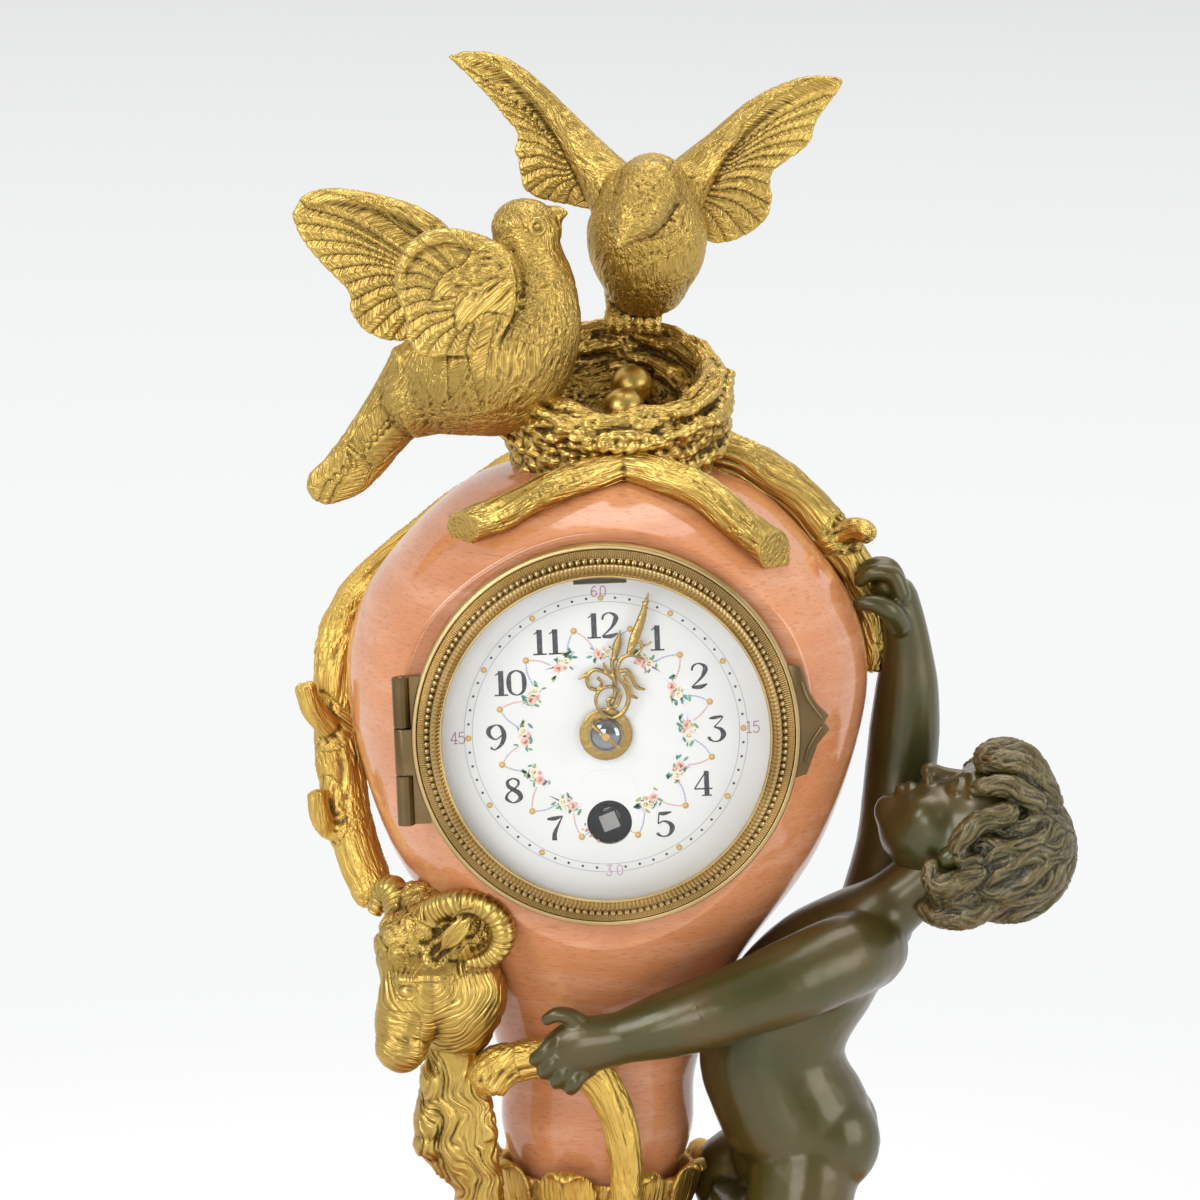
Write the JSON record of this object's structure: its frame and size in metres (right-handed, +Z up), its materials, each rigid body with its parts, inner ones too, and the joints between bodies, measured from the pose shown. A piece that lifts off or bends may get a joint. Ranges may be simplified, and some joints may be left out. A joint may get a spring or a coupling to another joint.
{
  "type": "table clock",
  "caption": "Figural table clock: a marble pear with a hinged glazed dial, gilt nest with doves, branches, ram mask and a bronze child on a plinth.",
  "frame": {"origin": "centre of the footprint on the surface that the feet stand on", "axes": "+Z up; the dial faces -Y; +X to the right as one looks at the dial"},
  "size_m": [0.17, 0.112, 0.2999],
  "materials": {
    "marble": "polished peach marble, opaque",
    "gilt": "gilt bronze, chased, umber in the recesses",
    "bronze": "patinated bronze, olive brown, rubbed at the heights",
    "old_brass": "dull aged brass",
    "brass": "satin movement brass",
    "steel": "polished steel",
    "enamel": "white fired enamel, opaque",
    "glass": "clear flat glass"
  },
  "bodies": {
    "case": {"plinth": "marble", "foot_1": "gilt", "foot_2": "gilt", "foot_3": "gilt", "foot_4": "gilt", "marble_body": "marble", "pedestal": "gilt", "leaf_collar": "gilt", "tie_rod": "steel", "tie_nut": "brass", "nest": "gilt", "egg_1": "gilt", "egg_2": "gilt", "nest_twigs": "gilt", "branch_right": "gilt", "branch_left": "gilt", "branch_lower": "gilt", "ram_mask": "gilt", "dove_left": "gilt", "dove_right": "gilt", "dove_left_near_wing": "gilt", "dove_left_far_wing": "gilt", "dove_right_left_wing": "gilt", "dove_right_right_wing": "gilt", "figure_body": "bronze", "figure_arm_low": "bronze", "figure_arm_raised": "bronze", "figure_head": "bronze", "figure_drape": "bronze", "bezel_flange": "old_brass", "hinge_pin": "steel", "dial_plate": "enamel", "front_plate": "brass", "back_plate": "brass", "balance_cock": "brass", "back_ring": "old_brass"},
    "bezel": {"bezel_door": "old_brass", "glass": "glass"},
    "centre": {"centre_wheel": "brass", "cannon_pinion": "steel", "minute_hand": "gilt", "hand_nut": "steel"},
    "hour": {"hour_wheel": "brass", "hour_hand": "gilt"},
    "minute": {"minute_wheel": "brass"},
    "intermediate": {"intermediate_wheel": "brass"},
    "going_barrel": {"barrel": "brass", "barrel_cover": "brass", "mainspring": "steel"},
    "winding": {"winding_arbor": "steel", "ratchet_wheel": "steel"},
    "click": {"click": "steel"},
    "third": {"third_wheel": "brass"},
    "fourth": {"fourth_wheel": "brass"},
    "escape": {"escape_wheel": "steel"},
    "lever": {"pallet_lever": "steel"},
    "balance": {"balance": "brass", "hairspring": "steel"},
    "index": {"regulator_index": "steel"},
    "rear_door": {"back_door": "old_brass"}
  },
  "joints": [
    {"name": "bezel_hinge", "type": "hinge", "parent": "case", "child": "bezel", "pos_m": [-0.05702, -0.03725, 0.16542], "axis": [0.061, 0, -0.9981], "range_deg": [0, 110]},
    {"name": "minute_hand_turn", "type": "hinge", "parent": "case", "child": "centre", "pos_m": [-0.0165, -0.0345, 0.1679], "axis": [0, 1, 0], "continuous": true},
    {"name": "hour_hand_turn", "type": "hinge", "parent": "case", "child": "hour", "pos_m": [-0.0165, -0.0345, 0.1679], "axis": [0, 1, 0], "continuous": true},
    {"name": "minute_wheel_turn", "type": "hinge", "parent": "case", "child": "minute", "pos_m": [-0.0253, -0.0345, 0.16407], "axis": [0, 1, 0], "continuous": true},
    {"name": "intermediate_turn", "type": "hinge", "parent": "case", "child": "intermediate", "pos_m": [-0.00481, -0.0345, 0.1595], "axis": [0, 1, 0], "continuous": true},
    {"name": "barrel_turn", "type": "hinge", "parent": "case", "child": "going_barrel", "pos_m": [-0.01539, -0.0345, 0.14973], "axis": [0, 1, 0], "continuous": true},
    {"name": "third_turn", "type": "hinge", "parent": "case", "child": "third", "pos_m": [-0.02828, -0.0345, 0.17237], "axis": [0, 1, 0], "continuous": true},
    {"name": "fourth_turn", "type": "hinge", "parent": "case", "child": "fourth", "pos_m": [-0.02424, -0.0345, 0.18174], "axis": [0, 1, 0], "continuous": true},
    {"name": "escape_turn", "type": "hinge", "parent": "case", "child": "escape", "pos_m": [-0.01609, -0.0345, 0.18555], "axis": [0, 1, 0], "continuous": true},
    {"name": "winding_turn", "type": "hinge", "parent": "case", "child": "winding", "pos_m": [-0.01539, -0.0345, 0.14973], "axis": [0, 1, 0], "continuous": true},
    {"name": "click_lift", "type": "hinge", "parent": "case", "child": "click", "pos_m": [-0.00618, -0.0345, 0.14701], "axis": [0, 1, 0], "range_deg": [-12, 12]},
    {"name": "lever_rock", "type": "hinge", "parent": "case", "child": "lever", "pos_m": [-0.01087, -0.0345, 0.18694], "axis": [0, 1, 0], "range_deg": [-6, 6]},
    {"name": "balance_swing", "type": "hinge", "parent": "case", "child": "balance", "pos_m": [-0.00788, -0.0345, 0.18775], "axis": [0, 1, 0], "range_deg": [-220, 220]},
    {"name": "index_set", "type": "hinge", "parent": "case", "child": "index", "pos_m": [-0.00788, -0.0345, 0.18775], "axis": [0, 1, 0], "range_deg": [-30, 30]},
    {"name": "back_hinge", "type": "hinge", "parent": "case", "child": "rear_door", "pos_m": [-0.05573, 0.03695, 0.1655], "axis": [-0.061, 0, 0.9981], "range_deg": [0, 110]}
  ],
  "couplings": [
    {"joint": "hour_hand_turn", "follows": "minute_hand_turn", "ratio": 0.083333},
    {"joint": "minute_wheel_turn", "follows": "minute_hand_turn", "ratio": -0.33333},
    {"joint": "intermediate_turn", "follows": "minute_hand_turn", "ratio": -0.2},
    {"joint": "barrel_turn", "follows": "minute_hand_turn", "ratio": 0.04},
    {"joint": "third_turn", "follows": "minute_hand_turn", "ratio": -8},
    {"joint": "fourth_turn", "follows": "minute_hand_turn", "ratio": 60},
    {"joint": "escape_turn", "follows": "minute_hand_turn", "ratio": -480}
  ]
}
